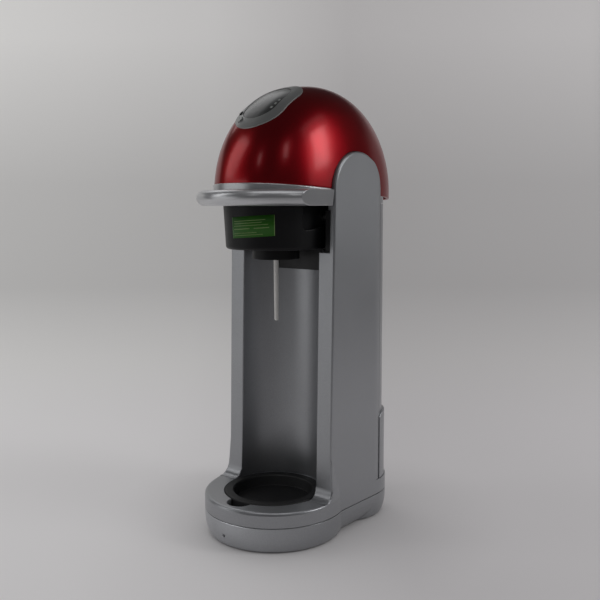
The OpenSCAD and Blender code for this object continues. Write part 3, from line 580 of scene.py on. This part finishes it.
def head_film(name, material, patches, grow, thick):
    """Thin film wrapped on the front of the head, a little out of level, from patches of angle and height."""
    first = math.radians(LABEL_START)
    slope = LABEL_CLIMB / math.radians(LABEL_END - LABEL_START)
    bm = bmesh.new()
    for start, end, low, high in patches:
        start, end = math.radians(start), math.radians(end)
        steps = max(2, round(math.degrees(end - start) / 2))
        edge = []
        for z in (low, high):
            radius = HEAD_R - HEAD_TAPER * (HEAD_TOP - z) / (HEAD_TOP - HEAD_LOW) + grow
            place = Vector((radius * math.sin(start), HEAD_Y - radius * math.cos(start),
                            z + slope * (start - first)))
            edge.append(bm.verts.new(place))
        side = bm.edges.new(edge)
        bmesh.ops.spin(bm, geom=edge + [side], cent=(0, HEAD_Y, 0), axis=(0, 0, 1),
                       dvec=(0, 0, slope * (end - start) / steps), angle=end - start, steps=steps)
    bmesh.ops.recalc_face_normals(bm, faces=bm.faces)
    film = piece_from(bm, name, material, "bottle_head")
    wall = film.modifiers.new("film", "SOLIDIFY")
    wall.thickness = thick
    wall.offset = 0


def head_label():
    """Plain green film with a few level pale print bars and a pale end, which is a painted highlight on the
    film's edge.
    """
    whole = (LABEL_START, LABEL_END, LABEL_LOW, LABEL_HIGH)
    head_film("green_label", GREEN, [whole], grow=0.00012, thick=0.00022)
    head_film("green_label_print_and_painted_highlight", LABEL_PRINT_AND_HIGHLIGHT, LABEL_BARS_AND_EDGE_HIGHLIGHT, grow=0.00026, thick=0.00008)


def display_marks():
    """Pale level marks on the display window."""
    bm = bmesh.new()
    for x, y in MARK_PLACES:
        made = bmesh.ops.create_cube(bm, size=1.0)
        rise = WINDOW_CROWN_R * (1 - (x / WINDOW_CROWN_HALF_W) ** DOME_POWER) ** (1 / DOME_POWER)
        centre = Matrix.Translation((x, y, math.sqrt(rise * rise - y * y)))
        lean = Matrix.Rotation(math.atan2(x, MARK_LEAN_R), 4, "Y")
        place = centre @ lean @ Matrix.Diagonal((*MARK_SIZE, 1))
        bmesh.ops.transform(bm, matrix=place, verts=made["verts"])
    bm.transform(panel_matrix())
    marks = piece_from(bm, "display_marks", MARK, "display_window")
    round_edges(marks, width=0.0002, segments=2)


def squeezed_springs():
    """Upright springs: each is a copy of its spring's solid, set in place with no body to ride with, and the
    solid itself is hidden.
    """
    for node, pusher in SPRING_PUSHERS.items():
        coil = piece_from(merged_copy(node), node + "_coil", STEEL, node, rigid=False)
        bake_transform(coil)
        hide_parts(node)


def sweep_paper():
    """Pale paper whose glow is painted light, which changes with height, from side to side and in front, and
    is darkened close to the object as a painted contact shadow.
    """
    paper, tree, shader = new_material("pale_paper_sweep")
    place = tree.nodes.new("ShaderNodeTexCoord")
    cloud = noise(tree, place, scale=1.4, detail=2.0)
    wire(tree, tones(tree, cloud, (0.42, 0.415, 0.415), (0.46, 0.455, 0.455)), "Color", shader, "Base Color")
    facing = tree.nodes.new("ShaderNodeMapping")
    facing.inputs["Rotation"].default_value = (0, 0, -CAMERA_TURN)
    wire(tree, place, "Object", facing, "Vector")
    split = tree.nodes.new("ShaderNodeSeparateXYZ")
    wire(tree, facing, "Vector", split, "Vector")
    height = tree.nodes.new("ShaderNodeValToRGB")
    stops = height.color_ramp.elements
    stops[0].position, stops[0].color = 0.0, (0.29, 0.285, 0.29, 1)
    stops[1].position, stops[1].color = 1.0, (0.0, 0.0, 0.0, 1)
    for z, tone in ((0.05, 0.265), (0.16, 0.188), (0.36, 0.20), (0.68, 0.30), (0.76, 0.30), (0.84, 0.12)):
        stops.new(z).color = (tone, tone * 0.99, tone * 0.985, 1)
    wire(tree, split, "Z", height, "Fac")
    sideways = spread(tree, split, 0.0, 1.0, start=-0.7, end=1.3, out="X")
    across = tones(tree, sideways, (1.0, 1.0, 0.985), (0.36, 0.35, 0.355), start=0.0, end=0.85)
    across.color_ramp.elements.new(0.252).color = (0.82, 0.815, 0.81, 1)
    across.color_ramp.elements.new(0.399).color = (0.58, 0.567, 0.57, 1)
    across.color_ramp.elements.new(0.66).color = (0.70, 0.685, 0.69, 1)
    inward = spread(tree, split, 0.0, 1.0, start=-0.6, end=-0.2, out="Y")
    near = tones(tree, inward, (0.55, 0.55, 0.55), (1.0, 1.0, 1.0), start=0.0, end=1.0)
    glow = multiplied(tree, height, "Color", across, "Color")
    fade = multiplied(tree, glow, "Result", near, "Color")
    # Ambient occlusion darkens the glow near the object: a painted contact shadow.
    painted_contact_shade = tree.nodes.new("ShaderNodeAmbientOcclusion")
    painted_contact_shade.samples = 8
    painted_contact_shade.inputs["Distance"].default_value = 0.14
    wire(tree, fade, "Result", painted_contact_shade, "Color")
    wire(tree, painted_contact_shade, "Color", shader, "Emission Color")
    shader.inputs["Emission Strength"].default_value = 1.5
    shader.inputs["Roughness"].default_value = 0.9
    shader.inputs["Specular IOR Level"].default_value = 0.1
    return paper


def paper_sweep():
    """Paper under the object that bends up behind it."""
    turn = Matrix.Rotation(CAMERA_TURN, 3, "Z")
    profile = [(SWEEP_FRONT, 0.0), (SWEEP_START, 0.0)]
    for i in range(1, SWEEP_STEPS + 1):
        angle = math.pi / 2 * i / SWEEP_STEPS
        back = SWEEP_START + SWEEP_BEND_R * math.sin(angle)
        climb = SWEEP_BEND_R - SWEEP_BEND_R * math.cos(angle)
        profile.append((back, climb))
    profile.append((SWEEP_START + SWEEP_BEND_R, SWEEP_TOP))
    bm = bmesh.new()
    line = [bm.verts.new(turn @ Vector((-SWEEP_HALF_W, y, z))) for y, z in profile]
    edges = [bm.edges.new(pair) for pair in zip(line, line[1:])]
    pulled = bmesh.ops.extrude_edge_only(bm, edges=edges)
    ends = [part for part in pulled["geom"] if isinstance(part, bmesh.types.BMVert)]
    bmesh.ops.translate(bm, verts=ends, vec=turn @ Vector((2 * SWEEP_HALF_W, 0, 0)))
    bmesh.ops.recalc_face_normals(bm, faces=bm.faces)
    mesh = mesh_from(bm, "paper_sweep")
    mesh.materials.append(sweep_paper())
    sweep = placed("paper_sweep", mesh)


def dark_room():
    world = bpy.data.worlds.new("dark_room")
    world.use_nodes = True
    back = world.node_tree.nodes["Background"]
    back.inputs["Color"].default_value = (0.05, 0.05, 0.052, 1)
    back.inputs["Strength"].default_value = 1.0
    bpy.context.scene.world = world
    bpy.context.scene.view_settings.view_transform = "Standard"


def softbox(name, azimuth, elevation, size, power, distance=1.8, only=()):
    """Soft lamp aimed at the object, from angles in degrees, for all pieces or only for those named."""
    data = bpy.data.lights.new(name, "AREA")
    data.shape = "RECTANGLE"
    data.size, data.size_y = size
    data.energy = power
    lamp = placed(name, data)
    az, el = math.radians(azimuth), math.radians(elevation)
    aim = Vector((math.sin(az) * math.cos(el), -math.cos(az) * math.cos(el), math.sin(el)))
    turn = aim.to_track_quat("Z", "Y").to_matrix().to_4x4()
    lamp.matrix_world = Matrix.Translation(LAMP_TARGET + aim * distance) @ turn
    if only:
        lit = bpy.data.collections.new("lit_by_" + name)
        for piece in only:
            lit.objects.link(piece)
        lamp.light_linking.receiver_collection = lit


photo_camera()
finish_inner_nodes()

# Pieces that stand for a solid with its edges rounded
tower = softened("front_shell", "tower_shell", SILVER, width=0.003, segments=4, share_at=tower_rounding,
                 step_z=ARM_FOOT_TOP, level_z=DECK_Z)
pan = softened("base_pan", "base_pan_shell", SILVER, width=0.0016, share_at=pan_rounding)
softened("rear_cover", "rear_cover_shell", SILVER, width=0.0010, segments=2, share_at=cover_rounding)
# The visor takes the lighter copy of the silver paint, which is painted light.
visor = softened("lever_visor", "visor_lip", PAINTED_LIGHT_SILVER, width=0.0010, share_at=visor_rounding)
softened("display_bezel", "display_bezel_ring", BEZEL, width=0.0005)
softened("start_button", "start_button_cap", BEZEL, width=0.0004, segments=2)
softened("reset_button", "reset_button_cap", CHARCOAL, width=0.0004, segments=2)
softened("display_window", "display_window_lens", WINDOW, width=0.0005)
softened("bottle_head", "bottle_head_shell", CHARCOAL, width=0.0016, segments=4, share_at=head_rounding)
softened("bottle_collar", "bottle_collar_ring", CHARCOAL, width=0.0007, segments=2)
softened("nozzle", "carbonating_nozzle", WHITE, width=0.0003, segments=2)
tray = softened("drip_tray", "drip_tray_dish", BLACK, width=0.00045, segments=2)
softened("cover_latch", "cover_latch_key", CHARCOAL, width=0.0006, segments=2, join_flats=False)

# Pieces with a shape of their own
red_dome()
head_label()
display_marks()
squeezed_springs()

# Studio: lamps for everything, then lamps for single pieces
paper_sweep()
dark_room()
softbox("left_softbox", azimuth=-52, elevation=28, size=(0.5, 1.0), power=2.4)
softbox("left_panel", azimuth=-40, elevation=0, size=(1.3, 0.8), power=2.1)
softbox("high_back_panel", azimuth=-112, elevation=42, size=(1.0, 0.8), power=2.6)
softbox("rear_edge_panel", azimuth=158, elevation=-4, size=(0.22, 0.5), power=0.3)
softbox("right_softbox", azimuth=112, elevation=28, size=(0.5, 0.85), power=5.1)
softbox("right_diffuser", azimuth=111, elevation=28, size=(0.95, 1.75), power=2.6, distance=1.85)
softbox("front_lamp", azimuth=2, elevation=33, size=(0.16, 0.32), power=0.3)
softbox("side_lamp", azimuth=60, elevation=37, size=(0.2, 0.4), power=0.5)
softbox("overhead_panel", azimuth=25, elevation=80, size=(1.5, 1.3), power=6.5, only=(tower, pan))
softbox("visor_panel", azimuth=25, elevation=74, size=(1.5, 1.1), power=4.2, only=(visor,))
softbox("tray_panel", azimuth=20, elevation=38, size=(1.5, 1.1), power=4.5, only=(tray,))
softbox("pan_panel", azimuth=-25, elevation=4, size=(1.3, 0.8), power=13.0, only=(pan,))
softbox("upper_side_panel", azimuth=141, elevation=4, size=(0.9, 0.5), power=0.55, only=(tower,))
